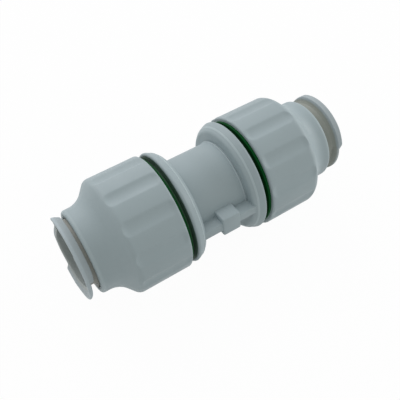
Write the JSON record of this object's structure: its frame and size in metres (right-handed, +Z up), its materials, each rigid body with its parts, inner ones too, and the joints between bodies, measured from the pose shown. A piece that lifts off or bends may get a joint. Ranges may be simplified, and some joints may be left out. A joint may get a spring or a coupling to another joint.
{
  "type": "straight push-fit connector",
  "caption": "Straight push-fit tube connector: a waisted body with a lug between two fluted twist-lock caps, each holding a toothed collet and a seal.",
  "frame": {"origin": "middle of the body on the tube axis", "axes": "+X along the tube axis to the right end, +Z up as the part lies on its caps, the lug on the -Y side"},
  "size_m": [0.0764, 0.0308, 0.0308],
  "materials": {
    "body_plastic": "fine satin moulded",
    "cap_plastic": "fine satin moulded",
    "collet_plastic": "satin moulded",
    "seal_rubber": "smooth",
    "spacer_plastic": "smooth moulded",
    "indicator_plastic": "satin",
    "tooth_steel": "stamped"
  },
  "bodies": {
    "body": {"body": "body_plastic", "o_ring_left": "seal_rubber", "o_ring_right": "seal_rubber"},
    "left_spacer": {"spacer_washer_left": "spacer_plastic"},
    "left_cap": {"cap_left": "cap_plastic", "indicator_ring_left": "indicator_plastic"},
    "left_collet": {"collet_left": "collet_plastic", "tooth_left_1": "tooth_steel", "tooth_left_2": "tooth_steel", "tooth_left_3": "tooth_steel", "tooth_left_4": "tooth_steel", "tooth_left_5": "tooth_steel", "tooth_left_6": "tooth_steel", "tooth_left_7": "tooth_steel", "tooth_left_8": "tooth_steel"},
    "right_spacer": {"spacer_washer_right": "spacer_plastic"},
    "right_cap": {"cap_right": "cap_plastic", "indicator_ring_right": "indicator_plastic"},
    "right_collet": {"collet_right": "collet_plastic", "tooth_right_1": "tooth_steel", "tooth_right_2": "tooth_steel", "tooth_right_3": "tooth_steel", "tooth_right_4": "tooth_steel", "tooth_right_5": "tooth_steel", "tooth_right_6": "tooth_steel", "tooth_right_7": "tooth_steel", "tooth_right_8": "tooth_steel"}
  },
  "joints": [
    {"name": "left_cap_advance", "type": "slide", "parent": "body", "child": "left_spacer", "axis": [1, 0, 0], "range_m": [0, 0.001]},
    {"name": "left_cap_turn", "type": "hinge", "parent": "left_spacer", "child": "left_cap", "pos_m": [-0.0185, 0, 0], "axis": [1, 0, 0], "range_deg": [0, 90]},
    {"name": "left_collet_push", "type": "slide", "parent": "left_spacer", "child": "left_collet", "axis": [1, 0, 0], "range_m": [0, 0.00065]},
    {"name": "right_cap_advance", "type": "slide", "parent": "body", "child": "right_spacer", "axis": [-1, 0, 0], "range_m": [0, 0.001]},
    {"name": "right_cap_turn", "type": "hinge", "parent": "right_spacer", "child": "right_cap", "pos_m": [0.0185, 0, 0], "axis": [-1, 0, 0], "range_deg": [0, 90]},
    {"name": "right_collet_push", "type": "slide", "parent": "right_spacer", "child": "right_collet", "axis": [-1, 0, 0], "range_m": [0, 0.0021]}
  ],
  "couplings": [
    {"joint": "left_cap_advance", "follows": "left_cap_turn", "m_per_rad": 0.0006366},
    {"joint": "right_cap_advance", "follows": "right_cap_turn", "m_per_rad": 0.0006366}
  ]
}
